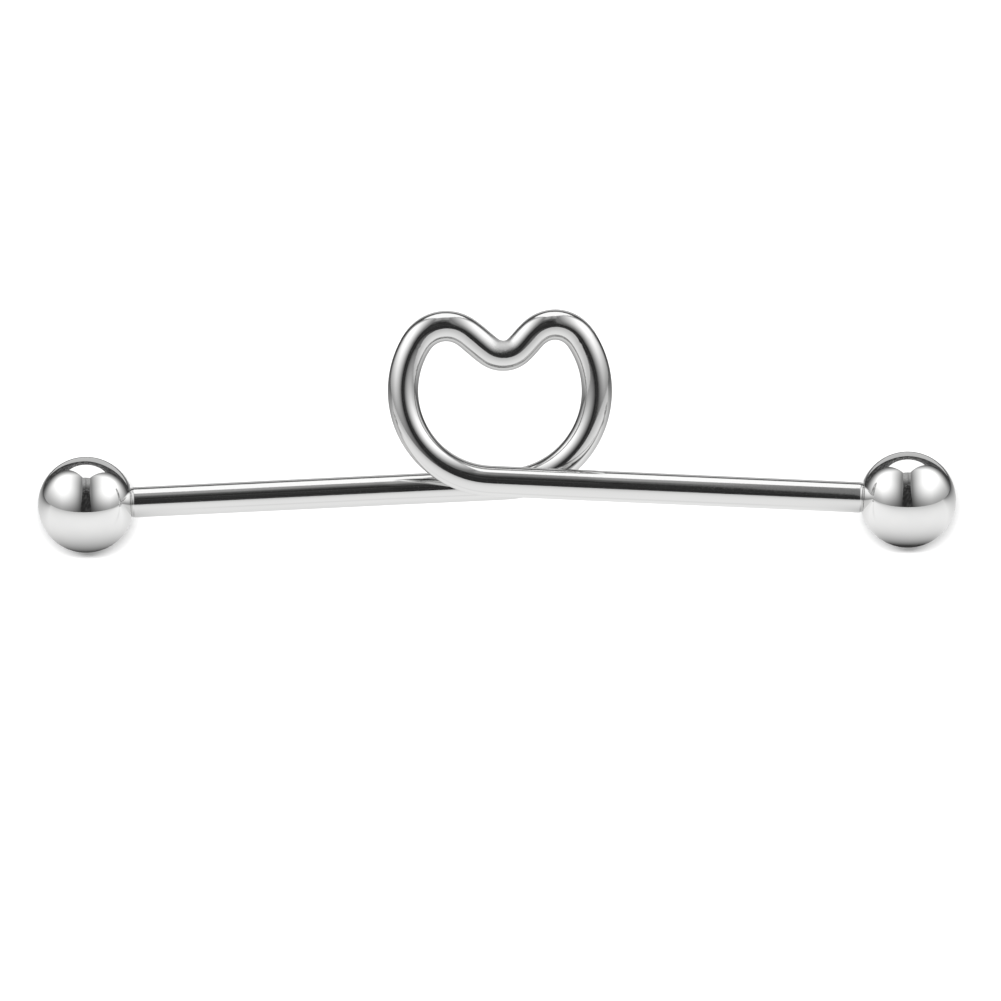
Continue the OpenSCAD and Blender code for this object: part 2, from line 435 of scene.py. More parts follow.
@dataclass(frozen=True)
class HeartWire:
    """The whole wire in the heart's own frame, in mm and degrees.

    Attributes:
        wire_r: Radius of the wire.
        bar_len: Length of the bar between its two balls.
        heart_shift: How far the heart stands to the right of the bar's middle.
        cross_run: Straight from the flank to the slight set in the arm.
        setback_r: Radius of that set.
        notch_r: Radius of the bends at the notch.
        notch_flat: Straight between them.
        shoulder_flat: Straight between a lobe and its flank.
        cross_gap: Space between the two halves where they cross.
        seat_gap: Space between a shoulder and its ball.
        bend_thinning: How much the radius of the wire shrinks in its bends.
        ball: Sizes of its balls.
        thread: Sizes of its ends.
        back: The half that passes behind, on to the left arm.
        front: The half that passes in front, on to the right arm.
        first_rise: First guess at the rise of the loop.
        rise_rounds: How many times that guess is bettered.
    """

    wire_r: float = 0.8
    bar_len: float = 38.0
    heart_shift: float = 0.4
    cross_run: float = 5.6
    setback_r: float = 16.0
    notch_r: float = 1.0
    notch_flat: float = 0.16
    shoulder_flat: float = 0.2
    cross_gap: float = 0.06
    seat_gap: float = 0.03
    bend_thinning: float = 0.004
    ball: Ball = Ball()
    thread: Thread = Thread()
    back: HalfHeart = HalfHeart(49, 1.0, 1.6, 59, 4.9, 2.4)
    front: HalfHeart = HalfHeart(41, 1.4, 1.8, 61, 4.7, 2.9)
    first_rise: float = 4.0
    rise_rounds: int = 6

    @property
    def cross_depth(self) -> float:
        """Depth of each half at the crossing, either side of the middle."""
        return self.wire_r + self.cross_gap / 2

    def half(self, side: Side) -> HalfHeart:
        """The half of the heart whose arm ends in that ball."""
        return self.back if side is Side.LEFT else self.front

    def heart_bends(self, side: Side, loop_rise: float) -> list[Bend]:
        """Bends of the heart itself: notch, lobe and flank.

        Args:
            side: Which half.
            loop_rise: How steeply the loop rises out of its plane.

        Returns:
            The three bends.
        """
        half = self.half(side)
        steps = [
            (self.notch_flat / 2, self.notch_r, heading_to(half.valley_slope, -loop_rise)),
            (half.valley_len, half.lobe_r, heading_to(-half.shoulder_slope, -loop_rise)),
            (self.shoulder_flat, half.flank_r, heading_to(half.arm_heading, 0)),
        ]
        return bends_of(steps, np.zeros(3), heading_to(0, -loop_rise))

    def loop_rise(self) -> float:
        """The rise at which the ends of the loop lie cross_depth either side of the middle.

        Returns:
            The rise in degrees.
        """
        rise = self.first_rise
        for _ in range(self.rise_rounds):
            gained = sum(self.heart_bends(side, rise)[-1].end[2] for side in Side)
            rise *= -2 * self.cross_depth / gained
        return rise

    def half_bends(self, side: Side) -> list[Bend]:
        """All the bends of a half, with the slight set in its arm that lines up its ball.

        Args:
            side: Which half.

        Returns:
            The four bends.
        """
        heart = self.heart_bends(side, self.loop_rise())
        last = heart[-1]
        length = self.set_to_ball(side, last)
        spread = 2 * self.setback_r - self.cross_depth
        root = math.sqrt(length ** 2 - spread * self.cross_depth)
        set_angle = 2 * math.degrees(math.atan((length - root) / spread))
        after = heading_to(self.half(side).arm_heading, set_angle)
        return heart + bends_of([(self.cross_run, self.setback_r, after)], last.end, last.after)

    def set_to_ball(self, side: Side, last: Bend) -> float:
        """Length in the heart's plane from the start of the set in the arm to the ball.

        Args:
            side: Which half.
            last: The last bend before the set.

        Returns:
            The length.
        """
        reach = (self.bar_len / 2 + self.ball.face_dist + self.seat_gap
                 - side.sign * self.heart_shift)
        return (reach + last.end[0]) / math.cos(math.radians(self.half(side).droop)) - self.cross_run

    def arm_to_ball(self, side: Side) -> float:
        """Length of the straight arm, on to the centre of its ball.

        Args:
            side: Which half.

        Returns:
            The length from the end of the set in the arm.
        """
        made = self.half_bends(side)
        tangent = self.setback_r * math.tan(made[-1].angle / 2)
        return math.hypot(self.set_to_ball(side, made[-2]) - tangent, self.cross_depth) - tangent

    def arm_to_shoulder(self, side: Side) -> float:
        """Length of the straight arm, up to its shoulder."""
        return self.arm_to_ball(side) - self.ball.face_dist - self.seat_gap

    def in_heart(self, side: Side, vector: Array) -> Array:
        """A point or direction of a half, in the frame that both halves share."""
        return vector if side is Side.LEFT else vector * np.array([-1.0, 1.0, -1.0])

    def ball_centre(self, side: Side) -> Array:
        """Centre of a ball in the heart's frame."""
        last = self.half_bends(side)[-1]
        return self.in_heart(side, last.end + self.arm_to_ball(side) * last.after)

    def arm_way(self, side: Side) -> Array:
        """Direction of an arm, out to its ball, in the heart's frame."""
        return self.in_heart(side, self.half_bends(side)[-1].after)


@dataclass(frozen=True)
class Lobe:
    """The circle that the wire's centreline follows in a lobe of the heart.

    Attributes:
        centre: Its centre, from the middle of the two balls.
        axis: The line that it turns about.
        radius: Its radius, in mm.
    """

    centre: Array
    axis: Array
    radius: float

    def reach(self, way: Array) -> float:
        """How far the circle reaches along a direction."""
        return float(self.centre @ way + self.radius * math.sqrt(1 - float(self.axis @ way) ** 2))

    def resting_tilt(self, depth: float, first_tilt: float = 9.0, rounds: int = 12) -> float:
        """The tilt about the balls' line at which the circle reaches down to a depth.

        Args:
            depth: The depth below the middle of the balls, in mm.
            first_tilt: First guess at the tilt, in degrees.
            rounds: How many times that guess is bettered.

        Returns:
            The tilt in radians.
        """
        tilt = math.radians(first_tilt)
        for _ in range(rounds):
            down = np.array([0, math.sin(tilt), -math.cos(tilt)])
            tilt += math.asin((depth - self.reach(down)) / self.centre[1])
        return tilt


@dataclass(frozen=True)
class Rest:
    """How the wire lies.

    Attributes:
        turn: The turn that carries the heart's frame to the row's.
        middle: The middle of the two balls in the heart's frame, in mm.
        shift: The same point in the row frame, in mm.
    """

    turn: Array
    middle: Array
    shift: Array

    @classmethod
    def of(cls, wire: HeartWire) -> "Rest":
        """Lays the wire on its two balls and the lower lobe of its heart.

        Args:
            wire: The wire to lay down.

        Returns:
            Its place at rest.
        """
        left, right = (wire.ball_centre(side) for side in Side)
        middle = (left + right) / 2
        roll = math.atan2(right[1] - left[1], right[0] - left[0])
        level = np.array(Matrix.Rotation(-roll, 3, "Z"))
        lobes = []
        for side in Side:
            _, bend, *_ = wire.half_bends(side)
            centre = level @ (wire.in_heart(side, bend.centre) - middle)
            lobes.append(Lobe(centre, level @ wire.in_heart(side, bend.axis), bend.radius))
        tilt = min(lobe.resting_tilt(wire.ball.radius - wire.wire_r) for lobe in lobes)
        onward = np.array([0, math.cos(tilt), math.sin(tilt)])
        heart_top = max(lobe.reach(onward) for lobe in lobes) + wire.wire_r
        turn = np.array(Matrix.Rotation(-tilt, 3, "X")) @ level
        shift = np.array([0, -(heart_top - wire.ball.radius) / 2, wire.ball.radius])
        return cls(turn, middle, shift)

    def point(self, heart_point: Array) -> Array:
        """A point of the heart's frame in the row frame, in mm."""
        return self.turn @ (heart_point - self.middle) + self.shift

    def way(self, heart_way: Array) -> Array:
        """A direction of the heart's frame in the row frame."""
        return self.turn @ heart_way


# Finishes


@dataclass(frozen=True)
class SurgicalSteel:
    """Polished surgical steel, a neutral mirror a little darker than silver.

    Attributes:
        name: The material's name.
        bright: Its colour on the highs of its slow pattern.
        shaded: Its colour in the lows.
        roughness_low: Roughness of its best polished spots.
        roughness_high: Roughness of its least polished ones.
    """

    name: str
    bright: str
    shaded: str
    roughness_low: float
    roughness_high: float

    def roughened(self, tree: Tree, roughness: Socket) -> Socket:
        """Roughness of the whole skin.

        Args:
            tree: The material's node tree.
            roughness: The roughness that the fine pattern gives.

        Returns:
            The same, unless a finish adds to it.
        """
        return roughness

    def dress(self, tree: Tree, slow: Socket, fine: Socket,
              relief: list[tuple[Socket, float]]) -> None:
        """Feeds the steel from the patterns of its skin.

        Args:
            tree: The material's node tree.
            slow: The pattern that its colour follows.
            fine: The pattern that its roughness follows.
            relief: Each pattern that stands out of the skin and its depth in mm, widest first.
        """
        tint = add_node(tree, "ShaderNodeMix", {
            "data_type": "RGBA", 6: linear(self.shaded), 7: linear(self.bright),
        }, {0: slow})
        roughness = add_node(tree, "ShaderNodeMapRange", {
            "From Min": NOISE_LOW, "From Max": NOISE_HIGH,
            "To Min": self.roughness_low, "To Max": self.roughness_high,
        }, {"Value": fine})
        surface = {
            "Base Color": tint.outputs[2],
            "Roughness": self.roughened(tree, roughness.outputs["Result"]),
        }
        normal: dict[str, Socket] = {}
        for height, depth_mm in relief:
            bump = add_node(tree, "ShaderNodeBump", {
                "Strength": 1.0, "Distance": depth_mm * MM,
            }, {"Height": height, **normal})
            normal = {"Normal": bump.outputs["Normal"]}
        steel = add_node(tree, "ShaderNodeBsdfPrincipled", {"Metallic": 1.0}, surface | normal)
        add_node(tree, "ShaderNodeOutputMaterial", {}, {"Surface": steel.outputs["BSDF"]})


@dataclass(frozen=True)
class DrawnSteel(SurgicalSteel):
    """Surgical steel wire, drawn through a die and then polished by hand.

    The drawing leaves faint lines along the wire, which the polish doesn't quite close. They
    give the edges of its reflections a fine tooth, and slow waves of its skin let the dark
    band along each arm wander a little. The inside of the notch's tight bend is squeezed
    into fine wrinkles, so it shines softly instead of mirroring.

    Attributes:
        squeezed_roughness: Roughness that the wrinkles add where they are deepest.
        line_width_mm: Width of a line that the die leaves.
        line_length_mm: Its length.
        line_depth_mm: Its depth.
        grain_mm: Width of a mark of the polish.
        grain_depth_mm: Its depth.
        wave_mm: Width of a slow wave.
        wave_shrink: Width of a wave as a share of its length along the wire.
        wave_depth_mm: Its depth.
    """

    name: str = "surgical_steel_drawn_wire"
    bright: str = "D6D6D5"
    shaded: str = "D0D0D0"
    roughness_low: float = 0.05
    roughness_high: float = 0.12
    squeezed_roughness: float = 0.5
    # Real lines and marks are a few thousandths of a mm wide; these are as coarse as the
    # render needs to show them
    line_width_mm: float = 0.045
    line_length_mm: float = 1.6
    line_depth_mm: float = 0.00035
    grain_mm: float = 0.07
    grain_depth_mm: float = 0.0004
    wave_mm: float = 2.2
    wave_shrink: float = 0.35
    wave_depth_mm: float = 0.004

    def roughened(self, tree: Tree, roughness: Socket) -> Socket:
        """Adds the wrinkles of the squeezed skin to the roughness.

        Args:
            tree: The material's node tree.
            roughness: The roughness that the grain gives.

        Returns:
            The roughness of the whole skin.
        """
        squeezed = add_node(tree, "ShaderNodeAttribute", {"attribute_name": "squeezed"})
        dulled = add_node(tree, "ShaderNodeMath", {
            "operation": "MULTIPLY_ADD", 1: self.squeezed_roughness,
        }, {0: squeezed.outputs["Fac"], 2: roughness})
        return dulled.outputs["Value"]

    def build(self) -> Material:
        """Makes the material.

        Returns:
            The material, which reads the place along and round the wire from wire_way, and
            how wrinkled the skin is from squeezed.
        """
        material, tree = new_material(self.name)
        way = add_node(tree, "ShaderNodeAttribute", {"attribute_name": "wire_way"})
        # Lines and waves are longer than they are wide, so the wire's length is shrunk for them
        along_line = add_node(tree, "ShaderNodeMapping", {
            "Scale": (1.0, 1.0, self.line_width_mm / self.line_length_mm),
        }, {"Vector": way.outputs["Vector"]})
        along_wave = add_node(tree, "ShaderNodeMapping", {
            "Scale": (1.0, 1.0, self.wave_shrink),
        }, {"Vector": way.outputs["Vector"]})
        # One period of noise is two marks wide, a high one and a low one
        lines = add_node(tree, "ShaderNodeTexNoise", {
            "Scale": 1 / (self.line_width_mm * 2 * MM), "Detail": 2.0, "Roughness": 0.6,
        }, {"Vector": along_line.outputs["Vector"]})
        grain = add_node(tree, "ShaderNodeTexNoise", {
            "Scale": 1 / (self.grain_mm * 2 * MM), "Detail": 3.0, "Roughness": 0.65,
        }, {"Vector": way.outputs["Vector"]})
        waves = add_node(tree, "ShaderNodeTexNoise", {
            "Scale": 1 / (self.wave_mm * MM), "Detail": 1.0, "Roughness": 0.4,
        }, {"Vector": along_wave.outputs["Vector"]})
        self.dress(tree, waves.outputs["Fac"], grain.outputs["Fac"], [
            (waves.outputs["Fac"], self.wave_depth_mm),
            (lines.outputs["Fac"], self.line_depth_mm),
            (grain.outputs["Fac"], self.grain_depth_mm),
        ])
        return material


@dataclass(frozen=True)
class MirrorSteel(SurgicalSteel):
    """Surgical steel ball, tumbled and buffed to a mirror.

    Buffing leaves only a haze of hairline marks, so the ball mirrors the studio sharply and
    the edges of what it mirrors are a touch uneven.

    Attributes:
        haze_mm: Width of a mark of the buffing.
        haze_depth_mm: Its depth.
        dimple_mm: Width of a shallow dimple of the tumbling.
        dimple_depth_mm: Its depth.
    """

    name: str = "surgical_steel_buffed_ball"
    bright: str = "E2E2E1"
    shaded: str = "DCDCDC"
    roughness_low: float = 0.02
    roughness_high: float = 0.05
    # Real buffing marks are a few thousandths of a mm wide; these are as coarse as the
    # render needs to show them
    haze_mm: float = 0.12
    haze_depth_mm: float = 0.00025
    dimple_mm: float = 0.9
    dimple_depth_mm: float = 0.0012

    def build(self) -> Material:
        """Makes the material.

        Returns:
            The material, which reads the ball's own place in metres.
        """
        material, tree = new_material(self.name)
        place = add_node(tree, "ShaderNodeTexCoord")
        haze = add_node(tree, "ShaderNodeTexNoise", {
            "Scale": 1 / (self.haze_mm * 2 * MM), "Detail": 3.0, "Roughness": 0.6,
        }, {"Vector": place.outputs["Object"]})
        dimples = add_node(tree, "ShaderNodeTexNoise", {
            "Scale": 1 / (self.dimple_mm * MM), "Detail": 1.0, "Roughness": 0.4,
        }, {"Vector": place.outputs["Object"]})
        self.dress(tree, dimples.outputs["Fac"], haze.outputs["Fac"], [
            (dimples.outputs["Fac"], self.dimple_depth_mm),
            (haze.outputs["Fac"], self.haze_depth_mm),
        ])
        return material


@dataclass(frozen=True)
class MattPaper:
    """White backdrop paper, pressed with a fine tooth, which scatters light evenly.

    Attributes:
        name: The material's name.
        white: Its colour.
        tooth_mm: Width of a grain of its tooth.
        tooth_depth_mm: Depth of the tooth.
    """

    name: str = "matt_white_paper"
    white: str = "F4F4F4"
    tooth_mm: float = 0.125
    tooth_depth_mm: float = 0.004

    def build(self) -> Material:
        """Makes the material.

        Returns:
            The material, which reads the floor's own place in metres.
        """
        material, tree = new_material(self.name)
        place = add_node(tree, "ShaderNodeTexCoord")
        tooth = add_node(tree, "ShaderNodeTexNoise", {
            "Scale": 1 / (self.tooth_mm * 2 * MM), "Detail": 2.0,
        }, {"Vector": place.outputs["Object"]})
        bump = add_node(tree, "ShaderNodeBump", {
            "Strength": 0.1, "Distance": self.tooth_depth_mm * MM,
        }, {"Height": tooth.outputs["Fac"]})
        paper = add_node(tree, "ShaderNodeBsdfDiffuse", {"Color": linear(self.white)},
                         {"Normal": bump.outputs["Normal"]})
        add_node(tree, "ShaderNodeOutputMaterial", {}, {"Surface": paper.outputs["BSDF"]})
        return material


@dataclass(frozen=True)
class LitClothAndPaintedLight:
    """Glow of the cards that the steel mirrors: the tent's woven diffuser cloth, lit from behind to an
    even white, and the painted light and shade of the table, the sweep, the room and the stand.

    Attributes:
        name: The material's name.
        white: Its colour.
    """

    name: str = "lit_cloth_and_painted_light"
    white: str = "FFFFFF"

    def build(self) -> Material:
        """Makes the material.

        Returns:
            The material, which shines as strongly as glow says at each vertex.
        """
        material, tree = new_material(self.name)
        glow = add_node(tree, "ShaderNodeAttribute", {"attribute_name": "glow"})
        light = add_node(tree, "ShaderNodeEmission", {"Color": linear(self.white)},
                         {"Strength": glow.outputs["Fac"]})
        add_node(tree, "ShaderNodeOutputMaterial", {}, {"Surface": light.outputs["Emission"]})
        material.cycles.emission_sampling = "NONE"
        return material


# Pieces


@dataclass(frozen=True)
class Ring:
    """One ring of the wire's skin, in the heart's frame and in mm.

    Attributes:
        point: Its middle, on the wire's centreline.
        way: Direction of the wire there.
        radius: Its radius, or None where the thread sets it.
        past: How far it lies past the shoulder, or None on the wire itself.
    """

    point: Array
    way: Array
    radius: float | None
    past: float | None = None


@dataclass
class WireBar:
    """The bent wire with its shoulders and threads, as one swept skin.

    Attributes:
        wire: Sizes of the wire.
        rest: Where it lies.
        finish: What it is made of.
        skin_in: How far the skin lies inside the wire's true size, in mm.
        seat_closed: How far the shoulder reaches into the gap before the ball, in mm.
        chamfer_shown: Depth of the shoulder's broken edge as the photo shows it, in mm.
        edge_round: Radius of its broken edges, in mm.
        bend_ease: How far a bend's ends are eased into its neighbours, in mm.
        ends_kept: Length at each tip that isn't eased, in mm.
        squeeze_reach: How far from the notch its squeezed skin reaches, in mm.
        squeeze_full: How far towards the inside the skin is fully squeezed, as a share of
            the wire's radius.
        sides: Vertices in each ring.
        bend_step: Largest turn between two rings of a bend, in degrees.
        straight_step: Longest distance between two rings of a straight, in mm.
        rings_a_turn: Rings in each turn of the thread.
    """

    wire: HeartWire
    rest: Rest
    finish: DrawnSteel = DrawnSteel()
    skin_in: float = 0.004
    seat_closed: float = 0.024
    chamfer_shown: float = 0.05
    edge_round: float = 0.02
    bend_ease: float = 0.28
    ends_kept: float = 6.0
    squeeze_reach: float = 1.2
    squeeze_full: float = 0.6
    sides: int = 72
    bend_step: float = 2.0
    straight_step: float = 0.3
    rings_a_turn: int = 14

    def shoulder_profile(self) -> list[Pair]:
        """Profile of the shoulder and the neck, from the wire on.

        Returns:
            How far each ring lies past the shoulder, and its radius.
        """
        wire, thread, soft = self.wire, self.wire.thread, self.edge_round
        corners = np.array([
            (-thread.length, wire.wire_r - self.skin_in),
            (-thread.chamfer_len, wire.wire_r - self.skin_in),
            (self.seat_closed, wire.wire_r - self.chamfer_shown),
            (self.seat_closed, thread.root_r),
            (thread.neck_len, thread.root_r),
        ])
        profile = []
        for back, here, on in zip(corners, corners[1:], corners[2:]):
            to_back, to_on = unit(back - here), unit(on - here)
            for share in (0.0, 0.2, 0.5, 0.8, 1.0):
                # A parabola from one edge to the other rounds the corner
                bow = (1 - share) ** 2 * to_back + share ** 2 * to_on
                profile.append(tuple(here + soft * bow))
        return profile

    def end_profile(self) -> list[tuple[float, float | None]]:
        """Profile of an end of the wire, from its shoulder out to its flat tip.

        Returns:
            How far each ring lies past the shoulder, and its radius, or None on the thread.
        """
        thread = self.wire.thread
        profile: list[tuple[float, float | None]] = list(self.shoulder_profile())
        step = thread.pitch / self.rings_a_turn
        profile += [(thread.neck_len + i * step, None)
                    for i in range(thread.turns * self.rings_a_turn + 1)]
        # Two rings in the tip's plane keep its edge crisp
        return profile + [(thread.length, thread.root_r * share) for share in (0.96, 0.6)]

    def half_rings(self, side: Side) -> list[Ring]:
        """Rings of one half, from the notch out to the tip.

        Args:
            side: Which half.

        Returns:
            The rings in order.
        """
        wire, rings = self.wire, []
        bends, shoulder = wire.half_bends(side), wire.arm_to_shoulder(side)
        straight_r = wire.wire_r - self.skin_in
        bend_r = wire.wire_r - wire.bend_thinning - self.skin_in

        def add_straight(start: Array, way: Array, length: float) -> None:
            """Adds the rings of a straight, but for its two ends."""
            count = max(2, math.ceil(length / self.straight_step))
            rings.extend(Ring(start + way * length * i / count, way, straight_r)
                         for i in range(1, count))

        for bend in bends:
            # The two halves meet in the notch, where there is no straight to add
            if bend is not bends[0]:
                add_straight(bend.first, bend.before, float(np.linalg.norm(bend.start - bend.first)))
            count = max(2, math.ceil(math.degrees(bend.angle) / self.bend_step))
            rings += [Ring(*bend.at(bend.angle * i / count), bend_r) for i in range(count + 1)]
        last = bends[-1]
        add_straight(last.end, last.after, shoulder - wire.thread.chamfer_len)
        end = last.end + shoulder * last.after
        rings += [Ring(end + last.after * past, last.after, radius, past)
                  for past, radius in self.end_profile()]
        return [replace(ring, point=wire.in_heart(side, ring.point),
                        way=wire.in_heart(side, ring.way)) for ring in rings]

    def eased(self, rings: list[Ring]) -> list[Ring]:
        """Eases the line of the wire where bends begin and end, as real bending does.

        Args:
            rings: The rings from tip to tip.

        Returns:
            The same rings, with those between the shoulders on an eased line.
        """
        points = np.array([ring.point for ring in rings])
        steps = np.linalg.norm(np.diff(points, axis=0), axis=1)
        along = np.concatenate([[0], np.cumsum(steps)])
        # A bell curve, out to three times its spread on each side
        offsets = np.linspace(-3, 3, 25)
        bell = np.exp(-offsets ** 2 / 2)
        weights = bell / bell.sum()

        def line(place: float) -> Array:
            """Point of the eased line at a place along the wire."""
            near = np.clip(place + offsets * self.bend_ease, 0, along[-1])
            return weights @ np.stack([np.interp(near, along, p) for p in points.T], axis=1)

        # Two points of the line this far before and after a ring give its direction
        found, step = [], 0.05
        for place, ring in zip(along, rings):
            if ring.past is None and min(place, along[-1] - place) >= self.ends_kept:
                way = unit(line(place + step) - line(place - step))
                ring = replace(ring, point=line(place), way=way)
            found.append(ring)
        return found

    def sweep(self, rings: list[Ring]) -> tuple[Array, Array]:
        """Lays vertices round each ring, without a twist from one to the next.

        Args:
            rings: The rings from tip to tip.

        Returns:
            The points in the heart's frame, and their places across, up and along the wire,
            both in mm and as rings by sides by 3.
        """
        angles = ring_angles(self.sides)
        c, s = np.cos(angles), np.sin(angles)
        points, places = [], []
        side_way, length, before = np.array([0.0, 0.0, 1.0]), 0.0, rings[0].point
        for ring in rings:
            length += float(np.linalg.norm(ring.point - before))
            before = ring.point
            side_way = unit(side_way - (side_way @ ring.way) * ring.way)
            up_way = np.cross(ring.way, side_way)
            if ring.radius is None:
                radii = self.wire.thread.radii(ring.past, length, angles)
            else:
                radii = np.full(self.sides, ring.radius)
            points.append(ring.point + np.outer(radii * c, side_way) + np.outer(radii * s, up_way))
            places.append(np.stack([radii * c, radii * s, np.full(self.sides, length)], axis=1))
        return np.array(points), np.array(places)

    def squeezed(self, rings: list[Ring], points: Array, notch: int) -> Array:
        """How much the notch's bend squeezes the skin, which is most on its inside.

        Args:
            rings: The rings from tip to tip.
            points: The vertices round each.
            notch: Number of the ring in the notch.

        Returns:
            From 0 to 1 at each vertex, as rings by sides.
        """
        # The wire's turn from this many rings before the notch to as many after it shows the inside
        beside = 4
        inside = unit(rings[notch + beside].way - rings[notch - beside].way)
        centres = np.array([ring.point for ring in rings])
        inward = (points - centres[:, None]) @ inside / self.wire.wire_r
        away = np.linalg.norm(centres - centres[notch], axis=1) / self.squeeze_reach
        return smoothstep(0, self.squeeze_full, inward) * np.exp(-away ** 2)[:, None]

    def build(self) -> Object:
        """Sweeps the skin from the left tip to the right tip.

        Returns:
            The wire, in the row frame.
        """
        left, right = (self.half_rings(side) for side in Side)
        rings = self.eased([replace(ring, way=-ring.way) for ring in reversed(left)] + right)
        points, places = self.sweep(rings)
        squeezed = self.squeezed(rings, points, len(left))
        skin_points = np.vstack([rings[0].point, *points, rings[-1].point])
        skin_points = np.array([self.rest.point(point) for point in skin_points]) * MM
        tips = np.zeros(3), places[-1, 0] * (0, 0, 1)
        faces = skin(len(rings), self.sides)
        made = mesh_object("bent_steel_wire", skin_points, faces, self.finish.build())
        add_values(made, "wire_way", np.vstack([tips[0], *places, tips[1]]) * MM)
        add_values(made, "squeezed", np.concatenate([[0], *squeezed, [0]]))
        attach(made, "heart_bar")
        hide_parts("heart_bar")
        return made


@dataclass
class ScrewBall:
    """A ball with a flat face and a threadless bore, turned about the line of its arm.

    Attributes:
        wire: Sizes of the wire and of the ball.
        rest: Where the wire lies.
        side: Which ball.
        finish: What it is made of.
        sides: Vertices in each ring.
        ball_step: Largest angle between two rings of the round, in degrees.
        edge_round: Radius of its broken edges, in mm.
        skin_in: How far the skin lies inside the ball's true size, in mm.
    """

    wire: HeartWire
    rest: Rest
    side: Side
    finish: MirrorSteel = MirrorSteel()
    sides: int = 144
    ball_step: float = 1.6
    edge_round: float = 0.025
    skin_in: float = 0.004

    @property
    def skin_r(self) -> float:
        """Radius of the ball's skin."""
        return self.wire.ball.radius - self.skin_in

    def profile(self) -> list[Pair]:
        """Outline from the far pole over the round and the face into the bore.

        Returns:
            Place along the axis, away from the wire, and distance from the axis, in mm.
        """
        ball, soft = self.wire.ball, self.edge_round
        face, mouth = -ball.face_dist, ball.bore_r + ball.mouth_chamfer
        bore_end = face + ball.bore_len
        turn = 180 - math.degrees(math.asin(ball.face_r / ball.radius) + soft / ball.radius)
        count = math.ceil(turn / self.ball_step)
        angles = [math.radians(turn * i / count) for i in range(1, count + 1)]
        # The shares of soft put a vertex or two on the rounding of each edge
        return [(self.skin_r * math.cos(angle), self.skin_r * math.sin(angle)) for angle in angles] + [
            (face + soft * 0.12, ball.face_r + soft * 0.2),
            (face, ball.face_r - soft),
            (face, mouth + soft * 0.3),
            (face + soft * 0.1, mouth),
            (face + ball.mouth_chamfer, ball.bore_r),
            (face + ball.mouth_chamfer + soft, ball.bore_r),
            (bore_end - soft, ball.bore_r),
            (bore_end, ball.bore_r * 0.98),
            (bore_end + ball.cone_len * 0.9, ball.bore_r * 0.1),
        ]

    def build(self) -> Object:
        """Turns the outline about the arm's line.

        Returns:
            The ball, in the row frame.
        """
        ball = self.wire.ball
        centre = self.rest.point(self.wire.ball_centre(self.side))
        axis = self.rest.way(self.wire.arm_way(self.side))
        side_way = unit(np.cross(axis, [0.0, 1.0, 0.0]))
        ways = round_ways(self.sides, side_way, np.cross(axis, side_way))
        rings = [centre + along * axis + radius * ways for along, radius in self.profile()]
        pole = centre + self.skin_r * axis
        drill_tip = centre + (ball.bore_len - ball.face_dist + ball.cone_len) * axis
        points = np.vstack([pole, *rings, drill_tip]) * MM
        faces = [face[::-1] for face in skin(len(rings), self.sides)]
        node = f"ball_{self.side.value}"
        made = mesh_object(f"screw_{node}", points, faces, self.finish.build())
        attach(made, node)
        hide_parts(node)
        return made


# The studio


@dataclass(frozen=True)
class Camera:
    """The camera at the photo's angle, nearly over the barbell as it lies.

    Attributes:
        distance_mm: From the lens to what it looks at.
        aim_mm: What it looks at, in the row frame.
        turns: Its turns about X, Y and Z in that order, in degrees.
        field_mm: Width of what it sees at that distance.
        height: How far it stood above the table's level in the studio, in degrees.
        sensor_mm: Width of its sensor.
        clips: Nearest and farthest distance that it sees, in metres.
    """

    distance_mm: float = 500.0
    aim_mm: Triple = (0.213, -3.621, 2.5)
    turns: Triple = (-11.0, 1.5, -0.359)
    field_mm: float = 52.01
    height: float = 18.0
    sensor_mm: float = 36.0
    clips: Pair = (0.01, 20.0)

    @property
    def turn(self) -> Matrix:
        """Its turn: columns to the right, up and back from the view."""
        x, y, z = (Matrix.Rotation(math.radians(turn), 3, axis)
                   for turn, axis in zip(self.turns, "XYZ"))
        return x @ y @ z

    def studio_axes(self, ball_line: Array) -> Array:
        """Axes of the studio as rows.

        Args:
            ball_line: From the left ball to the right one, which both stand on the table.

        Returns:
            The directions right as the camera sees it, up from the table and to the camera.
        """
        back = np.array(self.turn.col[2])
        right = unit(ball_line - (ball_line @ back) * back)
        up = np.cross(back, right)
        tilt = math.radians(self.height)
        return np.array([
            right,
            up * math.cos(tilt) + back * math.sin(tilt),
            back * math.cos(tilt) - up * math.sin(tilt),
        ])

    def build(self) -> Object:
        """Makes the camera and gives it to the scene.

        Returns:
            The camera.
        """
        data = bpy.data.cameras.new("camera")
        data.sensor_width = self.sensor_mm
        data.lens = self.sensor_mm * self.distance_mm / self.field_mm
        data.clip_start, data.clip_end = self.clips
        made = bpy.data.objects.new("camera", data)
        back = np.array(self.turn.col[2])
        place = (np.array(self.aim_mm) + back * self.distance_mm) * MM
        made.matrix_world = Matrix.Translation(Vector(place)) @ self.turn.to_4x4()
        bpy.context.scene.collection.objects.link(made)
        bpy.context.scene.camera = made
        return made


# Height of the table below the middle of the balls
TABLE_LEVEL = -Ball.radius


def angles_of(points: Array) -> tuple[Array, Array]:
    """Azimuth from the camera's side and elevation of points of the studio, in degrees."""
    x, up, near = points.T
    return np.degrees(np.arctan2(x, near)), np.degrees(np.arctan2(up, np.hypot(x, near)))


